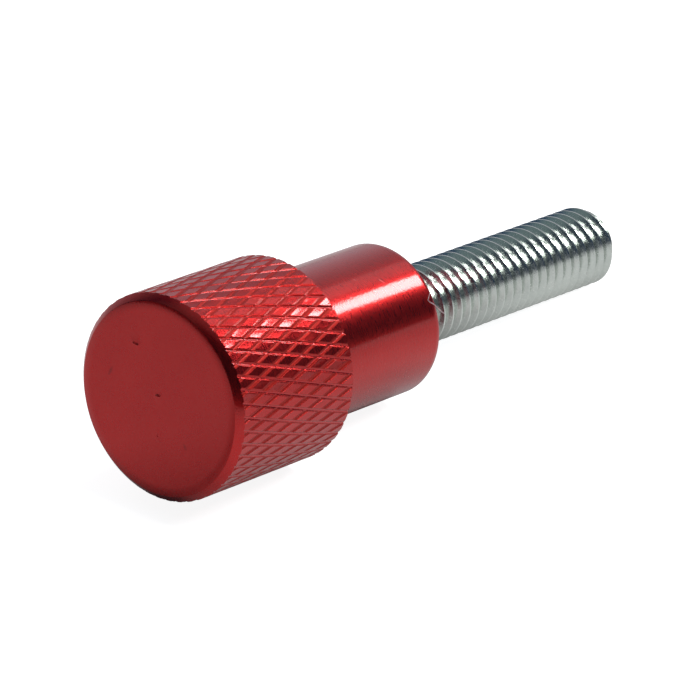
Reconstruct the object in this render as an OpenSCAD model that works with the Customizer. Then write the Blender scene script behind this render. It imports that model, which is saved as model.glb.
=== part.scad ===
// Knurled thumb screw: a turned aluminium knob with a diamond-knurled head and a
// plain shoulder, bonded onto an M6 threaded stud. It lies on its side, on the rear
// rim of the head and the end of the stud, with the stud towards +X. Millimetres.

/* [Head] */
// Diameter over the knurled lands
head_d = 15; // [14:0.1:40]
// Length of the head along its axis
head_len = 12; // [6:0.1:40]
// 45 degree chamfer round the front face
face_chamfer = 0.5; // [0.3:0.05:1.5]

/* [Knurl] */
// Grooves round the head in each of the two slanting directions
knurl_count = 48; // [30:1:72]
// Length of one diamond along the axis
diamond_len = 3.125; // [1.5:0.025:6]
// Width of a groove at the surface, measured round the head
groove_w = 0.38; // [0.1:0.01:0.55]
// Depth of a groove below the lands
groove_depth = 0.1; // [0.05:0.01:0.4]
// Distance from the rear of the head to the last ring of groove crossings
rim_offset = 0.15; // [0:0.05:1]

/* [Shoulder] */
// Diameter of the plain shoulder
shoulder_d = 11.25; // [9:0.05:13]
// Length of the shoulder behind the head
shoulder_len = 12; // [4:0.1:60]
// 45 degree edge break on the end of the shoulder
shoulder_break = 0.15; // [0.05:0.05:0.6]

/* [Stud] */
// Nominal thread diameter, taken over the thread crests
stud_d = 6; // [5:0.1:8]
// Pitch of the right-hand thread
thread_pitch = 1; // [0.75:0.05:1.25]
// Length of thread standing out of the shoulder
stud_len = 25; // [10:0.5:40]
// Length of thread held inside the knob
held_len = 15; // [5:0.5:15]
// 45 degree chamfer on each end of the stud
stud_chamfer = 0.9; // [0.6:0.05:1.5]

/* [Tapped hole] */
// Film of thread adhesive between the stud and the tapped hole
bond_gap = 0.02; // [0:0.01:0.1]
// Gap from the thread crests to the countersink in the mouth of the hole
mouth_gap = 0.05; // [0.02:0.01:0.5]
// Drilled length left below the end of the stud
drill_spare = 2.5; // [1:0.1:3]
// Point angle of the drill
drill_point = 118; // [90:1:140]

/* [Hidden] */
$fn = 96;

knob_red = [0.62, 0.13, 0.14];
stud_steel = [0.72, 0.74, 0.74];

head_r = head_d / 2;
shoulder_r = shoulder_d / 2;
stud_r = stud_d / 2;
end_r = stud_r - stud_chamfer;
knob_len = head_len + shoulder_len;
screw_len = knob_len + stud_len;
tip_corner = screw_len - stud_chamfer;

// Inside the knob the two threads mesh, so both are drawn at the pitch diameter of
// a 60 degree metric thread. The tapping drill is a pitch smaller than the thread.
thread_height = thread_pitch * sqrt(3) / 2;
mesh_r = stud_r - thread_height * 3 / 8;
hole_r = mesh_r + bond_gap;
drill_r = (stud_d - thread_pitch) / 2;
held_end = knob_len - held_len;
held_corner = held_end + mesh_r - end_r;

// The open thread is drawn in straight lengths, with 60 degree flanks between a flat
// root and a sharp crest. The crest dips just inside the nominal diameter halfway
// along each length, and the stud's turned outline trims its corners to that diameter.
// The thread starts in the countersink, and a crest crosses the bottom of the stud on
// the corner of the end chamfer.
turn_facets = 20;
crest_dip = 0.001;
sharp_r = (stud_r - crest_dip) / cos(180 / turn_facets);
root_r = stud_r - thread_height * 17 / 24;
root_flat = thread_pitch - 2 * (sharp_r - root_r) * tan(30);
open_end = knob_len - (stud_r - mesh_r);
turns_before = ceil((tip_corner - open_end) / thread_pitch) + 1;
turns = turns_before + ceil(stud_chamfer / thread_pitch);
first_crest = tip_corner - turns_before * thread_pitch;

// Knurl lattice. The grooves cross on rings half a diamond apart, counted from the
// rear of the head. A ring has knurl_count crossings with a diamond between each
// two, and every odd ring is turned by half a pitch.
pitch_angle = 360 / knurl_count;
land_share = 1 - groove_w * knurl_count / (PI * head_d);
ring_step = diamond_len / 2;
rear_ring = -1;
front_ring = floor((head_len - rim_offset) / ring_step) + 1;

// Lying position. The screw rests on the flat middle of a land at the head's rear rim
// and on the corner of the stud's end chamfer.
rest_r = head_r * cos(pitch_angle * land_share / 2);
rest_tilt = atan((rest_r - stud_r) / (tip_corner - head_len));
low_x = -(head_r - face_chamfer) * sin(rest_tilt);
high_x = screw_len * cos(rest_tilt) + end_r * sin(rest_tilt);
lie_x = -(low_x + high_x) / 2;
lie_z = head_len * sin(rest_tilt) + rest_r * cos(rest_tilt);

function polar(angle, r, z) = [r * cos(angle), r * sin(angle), z];

function is_odd(ring) = ring % 2 != 0;

// Index of a cell's first point; a cell is one diamond and the crossing before it
function cell_start(ring, i) =
    5 * ((ring - rear_ring + 1) * knurl_count + (i + knurl_count) % knurl_count);

// The crossing before a diamond, then the fore, aft, left and right corners of its land
function cell_points(ring, i) =
    let (a = (i + (is_odd(ring) ? 0.5 : 0)) * pitch_angle,
         z = head_len - rim_offset - ring * ring_step,
         da = land_share * pitch_angle / 2, dz = land_share * ring_step)
    [polar(a - pitch_angle / 2, head_r - groove_depth, z),
     polar(a, head_r, z - dz), polar(a, head_r, z + dz),
     polar(a - da, head_r, z), polar(a + da, head_r, z)];

// Ten triangles of a cell: two on its land and two on each of its groove walls
function cell_faces(ring, i) =
    let (before = cell_start(ring, i), after = cell_start(ring, i + 1),
         fore = before + 1, aft = before + 2, left = before + 3, right = before + 4,
         beside = i + (is_odd(ring) ? 1 : 0),
         x_fore = cell_start(ring + 1, beside), x_aft = cell_start(ring - 1, beside))
    [[left, right, fore], [left, aft, right],
     [before, left, fore], [before, fore, x_fore],
     [before, x_aft, aft], [before, aft, left],
     [after, fore, right], [after, x_fore, fore],
     [after, right, aft], [after, aft, x_aft]];

// The same triangles, facing the other way
function turned_over(faces) = [for (face = faces) [face[0], face[2], face[1]]];

// Two triangles from the outermost groove lines of a cell to a point on the axis
function cap_faces(ring, outer_ring, i, tip) =
    let (outer = cell_start(outer_ring, i + (is_odd(ring) ? 1 : 0)))
    [[tip, cell_start(ring, i), outer], [tip, outer, cell_start(ring, i + 1)]];

// Solid bar with the knurl cut round it, longer than the head at both ends
module knurled_bar() {
    each_cell = [0 : knurl_count - 1];
    points = [for (ring = [rear_ring - 1 : front_ring + 1], i = each_cell)
        each cell_points(ring, i)];
    sides = [for (ring = [rear_ring : front_ring], i = each_cell)
        each cell_faces(ring, i)];
    front_tip = len(points);
    rear_tip = front_tip + 1;
    front_cap = [for (i = each_cell)
        each cap_faces(front_ring, front_ring + 1, i, front_tip)];
    rear_cap = [for (i = each_cell)
        each turned_over(cap_faces(rear_ring, rear_ring - 1, i, rear_tip))];
    polyhedron(
        points = concat(points, [[0, 0, -ring_step], [0, 0, head_len + ring_step]]),
        faces = concat(sides, front_cap, rear_cap));
}

// Turned outline that trims the knurled bar to the head's length and chamfer
module head_envelope() {
    clear_r = head_r + face_chamfer;
    rotate_extrude()
        polygon([[0, 0], [head_r - face_chamfer, 0], [clear_r, 2 * face_chamfer],
                 [clear_r, head_len], [0, head_len]]);
}

// Plain shoulder; it runs on into the head so that the two are one solid
module shoulder() {
    root_z = head_len / 2;
    rotate_extrude()
        polygon([[0, root_z], [shoulder_r, root_z],
                 [shoulder_r, knob_len - shoulder_break],
                 [shoulder_r - shoulder_break, knob_len], [0, knob_len]]);
}

// Tapped hole: the drill's point and spare length, the tap's 45 degree lead that the
// stud seats on, the thread, and the countersink at the mouth
module tapped_hole() {
    drill_end = held_end - drill_spare;
    point_z = drill_end - drill_r / tan(drill_point / 2);
    mouth_r = stud_r + mouth_gap;
    above = knob_len + shoulder_break;
    rotate_extrude()
        polygon([[0, point_z], [drill_r, drill_end],
                 [drill_r, held_corner - (mesh_r - drill_r)],
                 [hole_r, held_corner + bond_gap],
                 [hole_r, knob_len - (mouth_r - hole_r)],
                 [mouth_r, knob_len], [mouth_r, above], [0, above]]);
}

// Points of one step round the helix: the sharp crest and the two edges of the root
// beyond it
function thread_points(step) =
    let (angle = step * 360 / turn_facets,
         z = first_crest + step * thread_pitch / turn_facets,
         root_z = z + (thread_pitch - root_flat) / 2)
    [polar(angle, sharp_r, z), polar(angle, root_r, root_z),
     polar(angle, root_r, root_z + root_flat)];

// Six triangles from one step to the next: two on the root and two on each flank
function thread_faces(step) =
    let (crest = 3 * step, root = crest + 1, far_root = crest + 2,
         far_crest = 3 * (step + turn_facets))
    [[crest, root, root + 3], [crest, root + 3, crest + 3],
     [root, far_root, far_root + 3], [root, far_root + 3, root + 3],
     [far_root, far_crest, far_crest + 3], [far_root, far_crest + 3, far_root + 3]];

// Triangles that close an end of the thread with a point on the axis: they follow the
// crest for one turn from a step and come back across the root
function thread_end(step, tip) =
    let (crest = [for (i = [0 : turn_facets]) 3 * (step + i)],
         loop = concat(crest, [3 * step + 2, 3 * step + 1]), count = len(loop))
    [for (i = [0 : count - 1]) [loop[i], loop[(i + 1) % count], tip]];

// Solid bar with the sharp thread round it, longer than the open thread at both ends
module threaded_bar() {
    steps = turns * turn_facets;
    points = [for (step = [0 : steps + turn_facets]) each thread_points(step)];
    sides = [for (step = [0 : steps - 1]) each thread_faces(step)];
    start_tip = len(points);
    end_tip = start_tip + 1;
    last_z = first_crest + (turns + 1) * thread_pitch;
    polyhedron(
        points = concat(points, [[0, 0, first_crest], [0, 0, last_z]]),
        faces = concat(sides, thread_end(0, start_tip),
                       turned_over(thread_end(steps, end_tip))));
}

// Plain bar that fills the thread as far as the stud is held in the knob
module held_bar() {
    translate([0, 0, held_end - thread_pitch])
        cylinder(r = stud_r + thread_pitch, h = open_end - held_end + thread_pitch);
}

// Turned outline that trims the bars to the stud's crests, held length and chamfers
module stud_envelope() {
    rotate_extrude()
        polygon([[0, held_end], [end_r, held_end], [mesh_r, held_corner],
                 [mesh_r, open_end], [stud_r, knob_len],
                 [stud_r, tip_corner], [end_r, screw_len], [0, screw_len]]);
}

// Turns the screw from standing on its face to lying at rest
module laid() {
    translate([lie_x, 0, lie_z])
        rotate([0, 90 + rest_tilt, 0])
            children();
}

// Knob: head, knurl and shoulder turned from one bar, with the blind tapped hole
module knob() {
    color(knob_red)
        laid()
            difference() {
                union() {
                    intersection() {
                        knurled_bar();
                        head_envelope();
                    }
                    shoulder();
                }
                tapped_hole();
            }
}

// Stud: threaded rod with chamfered ends, plain where the knob holds it
module stud() {
    color(stud_steel)
        laid()
            intersection() {
                union() {
                    threaded_bar();
                    held_bar();
                }
                stud_envelope();
            }
}

knob();
stud();
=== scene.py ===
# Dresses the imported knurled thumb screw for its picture: a finer knurl and thread, pits and
# marks, a hair of swarf, anodised and steel finishes, a pale floor, soft light and the camera.
import math

import bpy
import numpy as np
from mathutils import Matrix, Vector
from mathutils.geometry import delaunay_2d_cdt


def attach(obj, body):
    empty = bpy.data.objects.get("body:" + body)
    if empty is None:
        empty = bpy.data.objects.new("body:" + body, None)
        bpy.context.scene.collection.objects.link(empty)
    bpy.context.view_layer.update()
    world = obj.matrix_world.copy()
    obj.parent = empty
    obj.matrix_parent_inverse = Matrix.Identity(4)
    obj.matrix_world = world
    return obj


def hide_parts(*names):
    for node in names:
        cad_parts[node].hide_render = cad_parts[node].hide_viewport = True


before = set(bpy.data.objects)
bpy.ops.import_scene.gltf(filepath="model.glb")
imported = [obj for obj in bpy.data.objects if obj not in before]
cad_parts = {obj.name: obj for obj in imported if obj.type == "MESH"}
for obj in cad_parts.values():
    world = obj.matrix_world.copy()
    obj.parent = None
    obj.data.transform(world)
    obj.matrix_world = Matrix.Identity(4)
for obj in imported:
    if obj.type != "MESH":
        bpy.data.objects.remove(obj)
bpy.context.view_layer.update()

MM = 0.001
rng = np.random.default_rng(7)

# Sizes of the part in millimetres, as in its source
HEAD_R, HEAD_LEN, CHAMFER = 7.5, 12.0, 0.5
KNURLS, DIAMOND, GROOVE_W, RIM = 48, 3.125, 0.38, 0.15
SHOULDER_R, SHOULDER_LEN, BREAK = 5.625, 12.0, 0.15
STUD_R, PITCH, STUD_LEN, HELD_LEN, STUD_CHAMFER = 3.0, 1.0, 25.0, 15.0, 0.9
BOND_GAP, MOUTH_GAP, DRILL_SPARE, DRILL_POINT = 0.02, 0.05, 2.5, 118

# Places along the screw's axis, from the front face
KNOB_LEN = HEAD_LEN + SHOULDER_LEN
SCREW_LEN = KNOB_LEN + STUD_LEN
HELD_END = KNOB_LEN - HELD_LEN
TIP_CORNER = SCREW_LEN - STUD_CHAMFER

# Radii of the stud where it is held and at its ends, and of the hole
THREAD_HEIGHT = PITCH * math.sqrt(3) / 2
MESH_R = STUD_R - THREAD_HEIGHT * 3 / 8
END_R = STUD_R - STUD_CHAMFER
HOLE_R = MESH_R + BOND_GAP
MOUTH_R = STUD_R + MOUTH_GAP
DRILL_R = STUD_R - PITCH / 2
# Where the countersink in the mouth of the hole comes down to the hole's own radius
SINK_END = KNOB_LEN - (MOUTH_R - HOLE_R)

# The screw lies on a land at the rear rim of its head and on the corner of its stud's end
LAND = 2 * math.pi / KNURLS - GROOVE_W / HEAD_R
REST_R = HEAD_R * math.cos(LAND / 2)
TILT = math.atan((REST_R - STUD_R) / (TIP_CORNER - HEAD_LEN))
LOW_X = -(HEAD_R - CHAMFER) * math.sin(TILT)
HIGH_X = SCREW_LEN * math.cos(TILT) + END_R * math.sin(TILT)
LIE_X = -(LOW_X + HIGH_X) / 2
LIE_Z = HEAD_LEN * math.sin(TILT) + REST_R * math.cos(TILT)
LAID = (Matrix.Translation((LIE_X * MM, 0, LIE_Z * MM))
        @ Matrix.Rotation(math.pi / 2 + TILT, 4, "Y") @ Matrix.Scale(MM, 4))


# ---------------------------------------------------------------- mesh helpers

def polar(r, angle, s):
    """Points round the screw's axis, at places s along it."""
    return np.stack([r * np.cos(angle), r * np.sin(angle), s + 0 * angle], -1)


def by_angle(points, ids):
    """Point numbers in order of their angle round the axis."""
    return np.array(sorted(ids, key=lambda i: math.atan2(points[i][1], points[i][0])))


def quads(*corners):
    """Two triangles between each four points, given in order round them."""
    a, b, c, d = (np.ravel(ids) for ids in corners)
    return np.vstack([np.stack([a, b, c], 1), np.stack([a, c, d], 1)])


def clip(points, tris, side):
    """The part of a mesh where side is negative, and the loop of points along the cut."""
    keep = side <= 0
    kept = keep[tris].sum(1)
    points, made, new = list(points), {}, []

    def cut(i, j):
        key = (min(i, j), max(i, j))
        if key not in made:
            made[key] = len(points)
            points.append(points[i] + side[i] / (side[i] - side[j]) * (points[j] - points[i]))
        return made[key]

    for tri in tris[(kept > 0) & (kept < 3)]:
        ring = []
        for i, j in zip(tri, np.roll(tri, -1)):
            if keep[i]:
                ring.append(i)
            if keep[i] != keep[j]:
                ring.append(cut(i, j))
        new += [[ring[0], ring[k], ring[k + 1]] for k in range(1, len(ring) - 1)]
    tris = np.vstack([tris[kept == 3], np.array(new)])
    return np.array(points), tris, by_angle(points, made.values())


class Skin:
    """A mesh put together from surfaces that share their edge loops."""

    def __init__(self, points=np.zeros((0, 3)), tris=np.zeros((0, 3), int)):
        self.points, self.tris = points, [tris]

    def add(self, new):
        start = len(self.points)
        self.points = np.vstack([self.points, new])
        return np.arange(start, start + len(new))

    def ring(self, r, s, count):
        """A circle of points; its first point is at angle -180."""
        angle = np.arange(count) * 2 * math.pi / count - math.pi
        return self.add(polar(r, angle, s))

    def join(self, lower, upper, flip=False):
        """Triangles between two loops round the axis, both in order of angle."""
        ahead = []
        for loop in (lower, upper):
            angle = np.arctan2(self.points[loop][:, 1], self.points[loop][:, 0])
            ahead.append(np.append(angle[1:], angle[0] + 2 * math.pi))
        i = j = 0
        n, m, tris = len(lower), len(upper), []
        while i < n or j < m:
            if j == m or (i < n and ahead[0][i] <= ahead[1][j]):
                tris.append([lower[i], lower[(i + 1) % n], upper[j % m]])
                i += 1
            else:
                tris.append([lower[i % n], upper[(j + 1) % m], upper[j]])
                j += 1
        tris = np.array(tris)
        self.tris.append(tris[:, ::-1] if flip else tris)

    def lathe(self, start, outline, count, flip=False):
        """Rings along a turned outline, joined on from a loop; returns the last ring."""
        for r, s in outline:
            ring = self.ring(r, s, count)
            self.join(start, ring, flip)
            start = ring
        return start

    def cap(self, loop, s, flip=False):
        """Closes a loop with a point on the axis."""
        tip = self.add(np.array([[0, 0, s]]))[0]
        fan = np.stack([loop, np.roll(loop, -1), np.full(len(loop), tip)], 1)
        self.tris.append(fan[:, ::-1] if flip else fan)

    def build(self, name, smooth_deg):
        """The piece in Blender, laid as the screw lies; edges bent by more stay sharp."""
        tris = np.vstack(self.tris)
        used = np.unique(tris)
        index = np.zeros(len(self.points), int)
        index[used] = np.arange(len(used))
        mesh = bpy.data.meshes.new(name)
        mesh.from_pydata(self.points[used].tolist(), [], index[tris].tolist())
        mesh.transform(LAID)
        mesh.validate()
        mesh.update()
        mesh.polygons.foreach_set("use_smooth", [True] * len(mesh.polygons))
        piece = bpy.data.objects.new(name, mesh)
        bpy.context.scene.collection.objects.link(piece)
        mesh.set_sharp_from_angle(angle=math.radians(smooth_deg))
        return piece


# ---------------------------------------------------------------- the knurl

def groove(half, bottom):
    """A groove's corners: offset from its middle in pitches, and depth in millimetres."""
    return [(-x, depth) for x, depth in half] + [(0, bottom)] + [*half[::-1]]


# One hand is cut narrow and steep, the other wide and shallow with a fine line in the middle
STEEP, WIDE = 0, 1
CUTS = (groove(((0.15, 0), (0.10, 0.027), (0.03, 0.064)), 0.071),
        groove(((0.19, 0), (0.165, 0.021), (0.02, 0.028)), 0.037))
# The knurling wheels press up a burr beside each groove: its height in millimetres, and in
# pitches its width and how far its top and its foot are from the groove's edge
BURR, BURR_WIDTH, BURR_TOP, BURR_FOOT = 0.005, 0.035, 0.03, 0.08
# Grooves differ by a share of their depth and lands by a height, each within limits
GROOVE_SPREAD, GROOVE_LIMIT = 0.12, 1.5
LAND_SPREAD, LAND_LOWEST, LAND_HIGHEST, LAND_ROWS = 0.004, -0.01, 0.006, 40
# The lands are round, so the screw can lie a little to one side of a land's middle
KNURL_TURN = math.radians(1.67)

# Grid lines over one pitch of each hand: the groove's corners, its burrs and the land's middle
LINES = []
for corners in CUTS:
    edge = corners[-1][0]
    LINES.append([-edge - BURR_FOOT, -edge - BURR_TOP] + [x for x, _ in corners]
                 + [edge + BURR_TOP, edge + BURR_FOOT, 0.5])
PER_PITCH = len(LINES[0])


def line_place(hand, number):
    """Places in pitches of grid lines, from their running numbers."""
    return number // PER_PITCH + np.array(LINES[hand])[number % PER_PITCH]


def across_grooves(hand, place, spread):
    """Depth of one hand's grooves and height of its burrs, at places in pitches."""
    nearest = np.floor(place + 0.5).astype(int)
    offset = place - nearest
    depth = spread[nearest % KNURLS] * np.interp(offset, *zip(*CUTS[hand]))
    outside = np.abs(offset) - CUTS[hand][-1][0]
    return depth, BURR * np.exp(-((outside - BURR_TOP) / BURR_WIDTH) ** 2)


def uneven_lands(steep, wide):
    """Height of each land off the round: it is raised and leans by random amounts."""
    spread = rng.standard_normal((KNURLS, LAND_ROWS, 3))
    steep_cell, wide_cell = np.floor(steep).astype(int), np.floor(wide).astype(int)
    of_land = spread[wide_cell % KNURLS, (steep_cell - wide_cell) % LAND_ROWS]
    raised, steep_lean, wide_lean = np.moveaxis(of_land, -1, 0)
    lift = (raised + steep_lean * (steep - steep_cell - 0.5)
            + wide_lean * (wide - wide_cell - 0.5))
    return (LAND_SPREAD * lift).clip(LAND_LOWEST, LAND_HIGHEST)


def knurled_side():
    """The side of the head as a sheet of lands between grooves, longer than the head."""
    first, last = -2, int(2 * HEAD_LEN / DIAMOND) + 3
    columns, rows = KNURLS * PER_PITCH, (last - first) * PER_PITCH
    column, row = np.meshgrid(np.arange(columns), np.arange(rows), indexing="ij")
    steep = line_place(STEEP, column + row + first * PER_PITCH)
    wide = line_place(WIDE, column)
    spread = rng.standard_normal((2, KNURLS)).clip(-GROOVE_LIMIT, GROOVE_LIMIT)
    spread = 1 + GROOVE_SPREAD * spread
    steep_depth, steep_burr = across_grooves(STEEP, steep, spread[STEEP])
    wide_depth, wide_burr = across_grooves(WIDE, wide, spread[WIDE])
    depth = np.maximum(steep_depth, wide_depth)
    land = np.maximum(steep_burr, wide_burr) + uneven_lands(steep, wide)
    r = np.minimum(HEAD_R - BURR + np.where(depth > 0, -depth, land), HEAD_R)
    angle = (steep + wide + 1) * math.pi / KNURLS + KNURL_TURN
    s = HEAD_LEN - RIM - (steep - wide) / 2 * DIAMOND
    ids = np.arange(columns * rows).reshape(columns, rows)
    beside = np.roll(ids, -1, axis=0)
    tris = quads(ids[:, 1:-1], ids[:, 2:], beside[:, 1:-1], beside[:, :-2])
    return polar(r.ravel(), angle.ravel(), s.ravel()), tris


# ---------------------------------------------------------------- the knob

# Pits in the front face: centre, half width, half length, turn and share of the full depth
PITS = ((-3.38, 2.43, 0.08, 0.28, 0.05, 1), (-0.25, 0.08, 0.08, 0.24, -0.2, 1),
        (2.67, -0.19, 0.12, 0.14, 0, 0.2))
# Rings of a pit: share of its half width and length, and depth; a low lip goes all round it
PIT_RINGS = ((1.25, 0), (1.0, -0.012), (0.75, 0.03), (0.4, 0.07), (0.0, 0.085))
PIT_SIDES, PIT_CLEAR = 12, 0.4
FACE_GRID, FACE_MARGIN = 0.7, 0.3
# Half width of the narrow flat that softens the corner between chamfer and face
FACE_BREAK = 0.03
# Fillet at the foot of the shoulder and its middle, and the middle of the rounding on the end
FOOT, FOOT_MIDDLE = 0.08, 0.02
END_IN, END_BACK = 0.04, 0.06
# Where the hole's thread ends, a little above the held end of the stud, and the tap's lead
TAP_END, TAP_LEAD = HELD_END + 0.6, 0.2
TURNED_SIDES = 384


def front_face(skin, rim):
    """Front face as a flat sheet with a few small pits in it."""
    points = [tuple(skin.points[i][:2]) for i in rim]
    count = len(points)
    for r in np.arange(FACE_GRID, HEAD_R - CHAMFER - FACE_MARGIN, FACE_GRID):
        sides = int(2 * math.pi * r / FACE_GRID)
        angles = [2 * math.pi * i / sides for i in range(sides)]
        ring = [(r * math.cos(angle), r * math.sin(angle)) for angle in angles]
        points += [p for p in ring if min(math.dist(p, pit[:2]) for pit in PITS) > PIT_CLEAR]
    depths = {}
    for x, y, half_width, half_length, turn, share in PITS:
        for size, depth in PIT_RINGS:
            for i in range(PIT_SIDES if size else 1):
                angle = i * 2 * math.pi / PIT_SIDES
                across = half_width * size * math.cos(angle)
                along = half_length * size * math.sin(angle)
                depths[len(points)] = depth * share
                points.append((x + across * math.cos(turn) - along * math.sin(turn),
                               y + across * math.sin(turn) + along * math.cos(turn)))
    edges = [(i, (i + 1) % count) for i in range(count)]
    flat = [Vector(p) for p in points]
    places, _, faces, origins, _, _ = delaunay_2d_cdt(flat, edges, [], 1, 1e-7)
    ids = []
    for place, sources in zip(places, origins):
        on_rim = [i for i in sources if i < count]
        if on_rim:
            ids.append(rim[on_rim[0]])
        else:
            depth = max((depths.get(i, 0) for i in sources), key=abs, default=0)
            ids.append(skin.add(np.array([[place.x, place.y, depth]]))[0])
    skin.tris.append(np.array([[ids[i] for i in face[::-1]] for face in faces]))


def knob_outline():
    """Turned outline from the foot of the shoulder into the hole: radius and place."""
    rings = np.linspace(HEAD_LEN + 0.5, KNOB_LEN - BREAK - 0.3, 24)
    return [(SHOULDER_R + FOOT, HEAD_LEN),
            (SHOULDER_R + FOOT_MIDDLE, HEAD_LEN + FOOT_MIDDLE),
            (SHOULDER_R, HEAD_LEN + FOOT),
            *[(SHOULDER_R, s) for s in rings],
            (SHOULDER_R, KNOB_LEN - BREAK),
            (SHOULDER_R - END_IN, KNOB_LEN - END_BACK),
            (SHOULDER_R - BREAK, KNOB_LEN),
            (MOUTH_R, KNOB_LEN),
            (HOLE_R, SINK_END),
            (HOLE_R, TAP_END),
            (DRILL_R, TAP_END - TAP_LEAD),
            (DRILL_R, HELD_END - DRILL_SPARE)]


def make_knob():
    """Knurled head trimmed to its length and chamfer, shoulder, tapped hole and front face."""
    points, tris = knurled_side()
    points, tris, _ = clip(points, tris, points[:, 2] - HEAD_LEN)
    past_chamfer = np.hypot(points[:, 0], points[:, 1]) - (HEAD_R - CHAMFER) - points[:, 2]
    points, tris, front = clip(points, tris, past_chamfer)
    skin = Skin(points, tris)
    used = np.unique(tris)
    rear = by_angle(points, used[np.abs(points[used][:, 2] - HEAD_LEN) < 1e-9])
    drilled = skin.lathe(rear, knob_outline(), TURNED_SIDES)
    point_len = DRILL_R / math.tan(math.radians(DRILL_POINT / 2))
    skin.cap(drilled, HELD_END - DRILL_SPARE - point_len)
    angle = np.arctan2(points[front][:, 1], points[front][:, 0])
    outer = skin.add(polar(HEAD_R - CHAMFER + FACE_BREAK, angle, FACE_BREAK))
    rim = skin.add(polar(HEAD_R - CHAMFER - FACE_BREAK, angle, 0))
    skin.join(front, outer, flip=True)
    skin.join(outer, rim, flip=True)
    front_face(skin, rim)
    return skin.build("knob_turned", 32)


# ---------------------------------------------------------------- the stud

CREST_HALF = PITCH / 16
ROOT_ROUND = THREAD_HEIGHT / 6
# The middle of a crest crosses the bottom of the stud at the corner of its end chamfer
FIRST_CREST = TIP_CORNER % PITCH
# Grid rows from a crest's middle towards the root's, in pitches
CREST_ROWS = (0, 0.035, 0.055, 0.0625, 0.08, 0.16, 0.26, 0.36, 0.39, 0.42, 0.45, 0.475)
# In the mouth the thread is a little thinner than the held bar, and it comes out of it a
# little beyond the countersink's foot. Its sheet is cut off straight just inside the mouth.
THREAD_CLEAR, THREAD_LATE, THREAD_START, BAR_GAP = 0.02, 0.03, 0.1, 0.01
# At the tip the sheet is cut off just short of the end, and a small rounding ends it
TIP_CUT, TIP_ROUND = 0.02, 0.03
THREAD_SIDES, STUD_SIDES = 120, 96


def thread_radius(place):
    """Radius at places in pitches: a narrow crest, 60 degree flanks and a round root."""
    x = np.abs(place - np.round(place)) * PITCH
    sharp_root = STUD_R - THREAD_HEIGHT * 7 / 8
    below_centre = np.sqrt((ROOT_ROUND ** 2 - (x - PITCH / 2) ** 2).clip(0))
    root = sharp_root + 2 * ROOT_ROUND - below_centre
    flank = STUD_R - (x - CREST_HALF) * math.sqrt(3)
    in_root = PITCH / 2 - x < ROOT_ROUND * math.sqrt(3) / 2
    return np.where(x < CREST_HALF, STUD_R, np.where(in_root, root, flank))


def threaded_side():
    """The side of the open stud as a sheet along the helix, longer than the open stud."""
    rows = [*CREST_ROWS, 0.5] + [1 - place for place in CREST_ROWS[:0:-1]]
    per_pitch = len(rows)
    first, last = int(KNOB_LEN) - 3, int(SCREW_LEN) + 2
    count = (last - first) * per_pitch
    start = [first + k // per_pitch + rows[k % per_pitch] for k in range(count)]
    turn, start = np.meshgrid(np.arange(THREAD_SIDES) / THREAD_SIDES, start, indexing="ij")
    s = PITCH * (start + turn) + FIRST_CREST
    in_mouth = MESH_R - THREAD_CLEAR + (s - SINK_END - THREAD_LATE)
    r = np.minimum(thread_radius(start), in_mouth.clip(MESH_R - THREAD_CLEAR, STUD_R))
    r = np.minimum(r, STUD_R - (s - TIP_CORNER).clip(0))
    ids = np.arange(THREAD_SIDES * count).reshape(THREAD_SIDES, count)
    after = np.vstack([ids[1:], np.roll(ids[:1], -per_pitch, axis=1)])
    tris = quads(ids[:, :-per_pitch - 1], after[:, :-per_pitch - 1],
                 after[:, 1:-per_pitch], ids[:, 1:-per_pitch])
    return polar(r.ravel(), 2 * math.pi * turn.ravel(), s.ravel()), tris


def make_stud():
    """Open thread with its chamfered tip, and the plain bar that is held in the knob."""
    points, tris = threaded_side()
    mouth = SINK_END - THREAD_START
    points, tris, lower = clip(points, tris, mouth - points[:, 2])
    points, tris, tip = clip(points, tris, points[:, 2] - (SCREW_LEN - TIP_CUT))
    skin = Skin(points, tris)
    skin.cap(skin.lathe(tip, [(END_R - TIP_ROUND, SCREW_LEN)], STUD_SIDES), SCREW_LEN)
    bar = [(MESH_R, mouth - BAR_GAP), (MESH_R, HELD_END + MESH_R - END_R), (END_R, HELD_END)]
    skin.cap(skin.lathe(lower, bar, STUD_SIDES, flip=True), HELD_END, flip=True)
    return skin.build("stud_thread", 50)


# ---------------------------------------------------------------- the swarf

# A hair of swarf caught on the end of the shoulder, from end to end: radius and angle round
# the screw's axis, place along it, and half the hair's thickness
HAIR = ((5.66, -128.3, 23.90, 0.010), (5.67, -125.6, 23.58, 0.018), (5.68, -123.0, 23.29, 0.030),
        (5.72, -121.0, 23.40, 0.040), (5.74, -119.6, 23.58, 0.040), (5.60, -117.8, 23.93, 0.040),
        (5.20, -115.0, 24.55, 0.040), (4.70, -111.7, 25.30, 0.040), (4.15, -107.4, 26.12, 0.040),
        (3.70, -103.8, 26.79, 0.034), (3.35, -100.7, 27.33, 0.014))
HAIR_SIDES = 6


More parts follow.
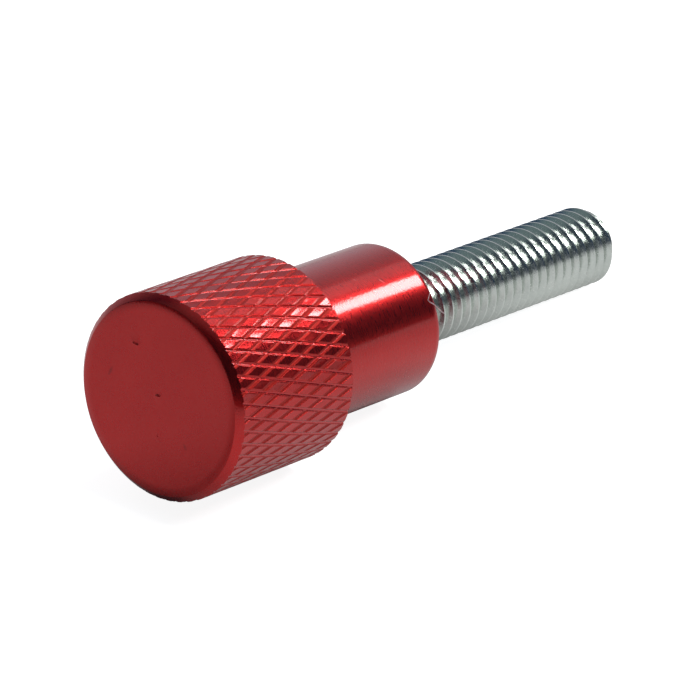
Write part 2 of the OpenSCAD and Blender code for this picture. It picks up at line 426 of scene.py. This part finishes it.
def make_hair():
    """A thin tube along the hair's path, closed at both ends."""
    path = [polar(r, math.radians(angle), s) for r, angle, s, _ in HAIR]
    turn = np.arange(HAIR_SIDES) * 2 * math.pi / HAIR_SIDES
    skin, rings = Skin(), []
    for i, point in enumerate(path):
        along = Vector(path[min(i + 1, len(path) - 1)] - path[max(i - 1, 0)]).normalized()
        side = along.cross(Vector((0, 0, 1))).normalized()
        over = along.cross(side)
        outward = np.outer(np.cos(turn), side) + np.outer(np.sin(turn), over)
        half_thickness = HAIR[i][3]
        rings.append(skin.add(point + half_thickness * outward))
    for ring, after in zip(rings, rings[1:]):
        skin.tris.append(quads(ring, np.roll(ring, -1), np.roll(after, -1), after))
    for first, *others in ((rings[0][0], *rings[0][:0:-1]), rings[-1]):
        skin.tris.append(np.array([[first, a, b] for a, b in zip(others, others[1:])]))
    return skin.build("swarf_hair", 60)


# ---------------------------------------------------------------- materials

def colour(r, g, b):
    return (r, g, b, 1)


class Nodes:
    """Short calls for building a material."""

    def __init__(self, name):
        self.material = bpy.data.materials.new(name)
        self.material.use_nodes = True
        self.tree = self.material.node_tree
        self.shader = self.tree.nodes["Principled BSDF"]
        self.place = self.tree.nodes.new("ShaderNodeTexCoord").outputs["Object"]

    def put(self, socket, value):
        if isinstance(value, bpy.types.NodeSocket):
            self.tree.links.new(value, socket)
        else:
            socket.default_value = value

    def look(self, **inputs):
        """Sets inputs of the shader, named with _ for a space."""
        for name, value in inputs.items():
            self.put(self.shader.inputs[name.replace("_", " ")], value)

    def node(self, kind, inputs, **settings):
        made = self.tree.nodes.new("ShaderNode" + kind)
        for key, value in settings.items():
            setattr(made, key, value)
        for key, value in inputs.items():
            self.put(made.inputs[key], value)
        return made

    def calc(self, operation, *values):
        return self.node("Math", dict(enumerate(values)), operation=operation).outputs[0]

    def length(self, vector):
        return self.node("VectorMath", {0: vector}, operation="LENGTH").outputs["Value"]

    def mapped(self, scale=(1, 1, 1)):
        """Position along and across the screw's own axis, in millimetres times scale."""
        turned = self.node("Mapping", {"Vector": self.place, "Rotation": (0, -TILT, 0)})
        return self.node("Mapping", {"Vector": turned.outputs[0],
                                     "Scale": [c / MM for c in scale]}).outputs[0]

    def noise(self, scale, detail, rough=0.5):
        return self.node("TexNoise", {"Vector": self.mapped(scale), "Scale": 1,
                                      "Detail": detail, "Roughness": rough}).outputs["Fac"]

    def ramp(self, value, low, high, at_low, at_high):
        return self.node("MapRange", {"Value": value, "From Min": low, "From Max": high,
                                      "To Min": at_low, "To Max": at_high}).outputs[0]

    def mix(self, factor, first, second):
        made = self.node("Mix", {"Factor": factor}, data_type="RGBA")
        self.put(made.inputs[6], first)
        self.put(made.inputs[7], second)
        return made.outputs[2]

    def bump(self, height, strength, distance, under=None):
        """A bump of up to a distance in millimetres, on top of another if one is given."""
        inputs = {"Height": height, "Strength": strength, "Distance": distance * MM}
        if under is not None:
            inputs["Normal"] = under
        return self.node("Bump", inputs).outputs[0]


# The middle of the front face, in millimetres along and across the screw's own axis
AXIS_START = (LIE_X * math.cos(TILT) - LIE_Z * math.sin(TILT), 0,
              LIE_X * math.sin(TILT) + LIE_Z * math.cos(TILT))

# Smudges on the face, and a scratch and a nick on the shoulder: colour, strength, one end
# and the other from the middle of the face, and half width
DARK, PALE = colour(0.16, 0.006, 0.007), colour(0.75, 0.17, 0.17)
MARKS = ((DARK, 0.55, (0, 4.42, 0.98), (0, 4.66, 0.38), 0.16),
         (DARK, 0.45, (0, -2.6, -2.6), (0, -2.8, -2.86), 0.16),
         (DARK, 0.85, (20.04, -2.55, 5.01), (20.38, -3.14, 4.67), 0.07),
         (PALE, 0.50, (19.90, -2.73, 4.92), (20.19, -3.14, 4.67), 0.09),
         (PALE, 0.45, (17.76, -2.13, 5.20), (18.07, -2.30, 5.13), 0.06))


def with_marks(m, red, place):
    """A colour with the marks drawn over it, each one a long soft spot."""
    for shade, strength, start, end, half in MARKS:
        start, end = Vector(start), Vector(end)
        run = end - start
        inside = m.node("Mapping", {"Vector": place, "Location": (start + end) / 2,
                                    "Rotation": run.to_track_quat("X", "Z").to_euler(),
                                    "Scale": (run.length / 2 + half, half, half)},
                        vector_type="TEXTURE")
        red = m.mix(m.ramp(m.length(inside.outputs[0]), 0.3, 1, strength, 0), red, shade)
    return red


def anodised_red():
    m = Nodes("anodised_red")
    cloud = m.noise((0.35, 0.35, 0.35), 3)
    turned = m.noise((9, 1.6, 1.6), 3, 0.65)
    grain = m.noise((8, 7, 7), 2)
    place = m.node("VectorMath", {0: m.mapped(), 1: AXIS_START}, operation="SUBTRACT").outputs[0]
    along, y, z = m.node("SeparateXYZ", {"Vector": place}).outputs
    radius = m.length(m.node("CombineXYZ", {"Y": y, "Z": z}).outputs[0])

    red = m.mix(cloud, colour(0.46, 0.013, 0.012), colour(0.38, 0.008, 0.009))
    red = m.mix(m.ramp(turned, 0.35, 0.65, 0, 0.35), red, colour(0.52, 0.020, 0.016))
    # the dye is thin and dull on the cut end round the stud
    cut_end = m.ramp(along, KNOB_LEN - 0.03, KNOB_LEN - 0.01, 0, 1)
    red = m.mix(cut_end, red, colour(0.13, 0.008, 0.022))
    # the pressed walls of the knurl are duller and a little more orange than its lands
    pressed = m.calc("MULTIPLY", m.ramp(radius, HEAD_R - 0.018, HEAD_R - 0.010, 1, 0),
                     m.ramp(radius, HEAD_R - 0.042, HEAD_R - 0.034, 0, 1))
    pressed = m.calc("MULTIPLY", pressed, m.ramp(along, CHAMFER, CHAMFER + 0.03, 0, 1))
    red = m.mix(pressed, red, colour(0.36, 0.020, 0.015))

    rough = m.ramp(turned, 0.3, 0.7, 0.25, 0.33)
    ridges = m.bump(turned, 0.4, 0.004)
    m.look(Base_Color=with_marks(m, red, place), Metallic=1,
           Roughness=m.calc("MULTIPLY_ADD", pressed, 0.25, rough),
           Coat_Weight=m.ramp(pressed, 0, 1, 0.6, 0.1), Coat_Roughness=0.06, Coat_IOR=1.45,
           Normal=m.bump(grain, 0.5, 0.012, ridges), Coat_Normal=m.bump(grain, 0.25, 0.012))
    return m.material


def bright_steel():
    m = Nodes("bright_steel")
    cloud = m.noise((0.8, 0.8, 0.8), 3)
    drawn = m.noise((0.9, 5, 5), 3, 0.6)
    grain = m.noise((20, 20, 20), 2)
    steel = m.mix(cloud, colour(0.60, 0.64, 0.60), colour(0.51, 0.55, 0.515))
    steel = m.mix(m.ramp(drawn, 0.4, 0.65, 0, 0.5), steel, colour(0.66, 0.69, 0.65))
    m.look(Base_Color=steel, Metallic=1, Roughness=m.ramp(drawn, 0.3, 0.7, 0.17, 0.28),
           Normal=m.bump(grain, 0.2, 0.002, m.bump(drawn, 0.3, 0.004)))
    return m.material


def pale_swarf():
    m = Nodes("pale_swarf")
    patch = m.noise((3, 3, 3), 2)
    m.look(Base_Color=m.mix(patch, colour(0.62, 0.44, 0.46), colour(0.46, 0.28, 0.30)),
           Metallic=0.2, Roughness=m.ramp(patch, 0.3, 0.7, 0.4, 0.6))
    return m.material


def floor_white():
    m = Nodes("floor_white")
    dust = m.noise((0.02, 0.02, 0.02), 4)
    # painted light and painted shadow: for glossy rays the floor glows, so the metal mirrors a floor
    # that is dark under the screw (a painted shadow) and pale away from it (painted light), but less
    # so behind the screw and beside its tip
    x, y, _ = m.node("SeparateXYZ", {"Vector": m.place}).outputs
    away = m.calc("ADD", m.calc("ABSOLUTE", y), m.ramp(x, 0, 0.1, 0, 0.06))
    painted_glow_for_reflections = m.ramp(away, 0.001, 0.012, 0, 0.40)
    for fade in (m.ramp(y, 0, 0.015, 1, 0.72), m.ramp(x, 0.008, 0.024, 1, 0.68)):
        painted_glow_for_reflections = m.calc("MULTIPLY", painted_glow_for_reflections, fade)
    rays = m.node("LightPath", {}).outputs
    painted_glow_for_reflections = m.calc("MULTIPLY", rays["Is Glossy Ray"], painted_glow_for_reflections)
    # camera rays see plain white; glossy rays also see the painted glow and painted shadow
    m.look(Base_Color=m.mix(dust, colour(0.42, 0.42, 0.42), colour(0.38, 0.38, 0.385)),
           Roughness=0.9, Specular_IOR_Level=0, Emission_Color=colour(1, 1, 1),
           Emission_Strength=m.calc("MULTIPLY_ADD", rays["Is Camera Ray"], 0.9, painted_glow_for_reflections))
    return m.material


# ---------------------------------------------------------------- pieces

knob = make_knob()
knob.data.materials.append(anodised_red())
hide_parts("knob")
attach(knob, "root")

stud = make_stud()
stud.data.materials.append(bright_steel())
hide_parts("stud")
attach(stud, "root")

hair = make_hair()
hair.data.materials.append(pale_swarf())
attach(hair, "root")


# ---------------------------------------------------------------- floor

FLOOR_HALF = 3
floor_mesh = bpy.data.meshes.new("floor")
floor_corners = [(x * FLOOR_HALF, y * FLOOR_HALF, 0) for x, y in ((-1, -1), (1, -1), (1, 1), (-1, 1))]
floor_mesh.from_pydata(floor_corners, [], [(0, 1, 2, 3)])
floor_mesh.materials.append(floor_white())
floor = bpy.data.objects.new("floor", floor_mesh)
bpy.context.scene.collection.objects.link(floor)


# ---------------------------------------------------------------- room and lamps

class Room:
    """A world whose colour depends on the direction of the ray."""

    def __init__(self, name):
        self.world = bpy.data.worlds.new(name)
        self.world.use_nodes = True
        self.tree = self.world.node_tree
        self.way = self.tree.nodes.new("ShaderNodeTexCoord").outputs["Generated"]
        self.seen = self.tree.nodes.new("ShaderNodeLightPath").outputs["Is Camera Ray"]

    def towards(self, aim, *stops):
        """A colour by how nearly a ray points towards aim: cosines, each with its colour."""
        facing = self.tree.nodes.new("ShaderNodeVectorMath")
        facing.operation = "DOT_PRODUCT"
        self.tree.links.new(self.way, facing.inputs[0])
        facing.inputs[1].default_value = aim
        ramp = self.tree.nodes.new("ShaderNodeValToRGB")
        while len(ramp.color_ramp.elements) < len(stops):
            ramp.color_ramp.elements.new(0.5)
        for element, (cosine, rgb) in zip(ramp.color_ramp.elements, stops):
            element.position = cosine
            element.color = colour(*rgb)
        self.tree.links.new(facing.outputs["Value"], ramp.inputs[0])
        return ramp.outputs["Color"]

    def mix(self, blend, factor, first, second):
        mix = self.tree.nodes.new("ShaderNodeMix")
        mix.data_type = "RGBA"
        mix.blend_type = blend
        for number, value in ((0, factor), (6, first), (7, second)):
            if isinstance(value, bpy.types.NodeSocket):
                self.tree.links.new(value, mix.inputs[number])
            else:
                mix.inputs[number].default_value = value
        return mix.outputs[2]

    def add(self, first, second):
        return self.mix("ADD", 1, first, second)


def make_room():
    """A dim studio with a pale wall behind the screw, a soft panel and a paler ceiling."""
    room = Room("studio")
    wall_azimuth = math.radians(48)
    wall = room.towards((math.cos(wall_azimuth), math.sin(wall_azimuth), 0.08),
                        (0.0, (0.03, 0.045, 0.07)), (0.35, (0.012, 0.05, 0.13)),
                        (0.62, (0.30, 0.32, 0.36)), (0.95, (0.56, 0.56, 0.62)))
    panel = room.towards((-0.69, 0.44, 0.57), (0.92, (0, 0, 0)), (0.97, (0.14, 0.185, 0.175)))
    ceiling = room.towards((0, 0, 1), (0.72, (0, 0, 0)), (0.86, (0.40, 0.40, 0.40)))
    lit = room.add(room.add(wall, panel), ceiling)
    # the camera sees plain white round the screw
    shown = room.mix("MIX", room.seen, lit, colour(1, 1, 1))
    room.tree.links.new(shown, room.tree.nodes["Background"].inputs["Color"])
    bpy.context.scene.world = room.world


LAMP_AIM = Vector((0, 0, 0.008))
# Soft boxes: name, azimuth and elevation in degrees, distance, width and height in metres,
# and radiance
LAMPS = (("key", -18, 31, 0.40, 0.075, 0.055, 23), ("side", -72, 50, 0.40, 0.16, 0.15, 14),
         ("top", -5, 75, 0.40, 0.10, 0.08, 12), ("strip", -12, 50, 0.40, 0.16, 0.035, 8),
         ("glow", 4, 36, 0.42, 0.10, 0.12, 0.6))


def add_lamp(name, azimuth, elevation, distance, width, height, radiance):
    """A soft box aimed at the middle of the screw."""
    azimuth, elevation = math.radians(azimuth), math.radians(elevation)
    way = Vector((math.cos(azimuth) * math.cos(elevation),
                  math.sin(azimuth) * math.cos(elevation), math.sin(elevation)))
    light = bpy.data.lights.new(name, "AREA")
    light.shape = "RECTANGLE"
    light.size, light.size_y = width, height
    light.energy = radiance * math.pi * width * height
    lamp = bpy.data.objects.new(name, light)
    lamp.location = LAMP_AIM + distance * way
    lamp.rotation_euler = way.to_track_quat("Z", "Y").to_euler()
    bpy.context.scene.collection.objects.link(lamp)


make_room()
for lamp_values in LAMPS:
    add_lamp(*lamp_values)


# ---------------------------------------------------------------- camera

# The photo's camera, fitted to the screw's outline: which way its right-hand side points and
# how far it looks down, its focal length in pixels of the photo, and where it sees the
# middle of the front face, in pixels of the photo and in millimetres ahead
PHOTO_PX, SENSOR_MM = 700, 36
RIGHT_AZIMUTH, LOOKS_DOWN = math.radians(-49.8276), math.radians(27.14)
FOCUS_PX, FACE_PX, FACE_AHEAD = 5267.66, (158.49, 399.21), 363.72


def make_camera():
    right = Vector((math.cos(RIGHT_AZIMUTH), math.sin(RIGHT_AZIMUTH), 0))
    ahead = Vector((-right.y * math.cos(LOOKS_DOWN), right.x * math.cos(LOOKS_DOWN),
                    -math.sin(LOOKS_DOWN)))
    down = ahead.cross(right)
    px_right, px_down = (px - PHOTO_PX / 2 for px in FACE_PX)
    aside = (right * px_right + down * px_down) * (FACE_AHEAD / FOCUS_PX)
    place = Vector((LIE_X, 0, LIE_Z)) - ahead * FACE_AHEAD - aside
    data = bpy.data.cameras.new("camera")
    data.sensor_width = SENSOR_MM
    data.lens = SENSOR_MM * FOCUS_PX / PHOTO_PX
    data.clip_start = 0.01
    camera = bpy.data.objects.new("camera", data)
    camera.matrix_world = (Matrix.Translation(place * MM)
                           @ Matrix((right, -down, -ahead)).transposed().to_4x4())
    bpy.context.scene.collection.objects.link(camera)
    return camera


bpy.context.scene.camera = make_camera()
bpy.context.scene.view_settings.view_transform = "Standard"
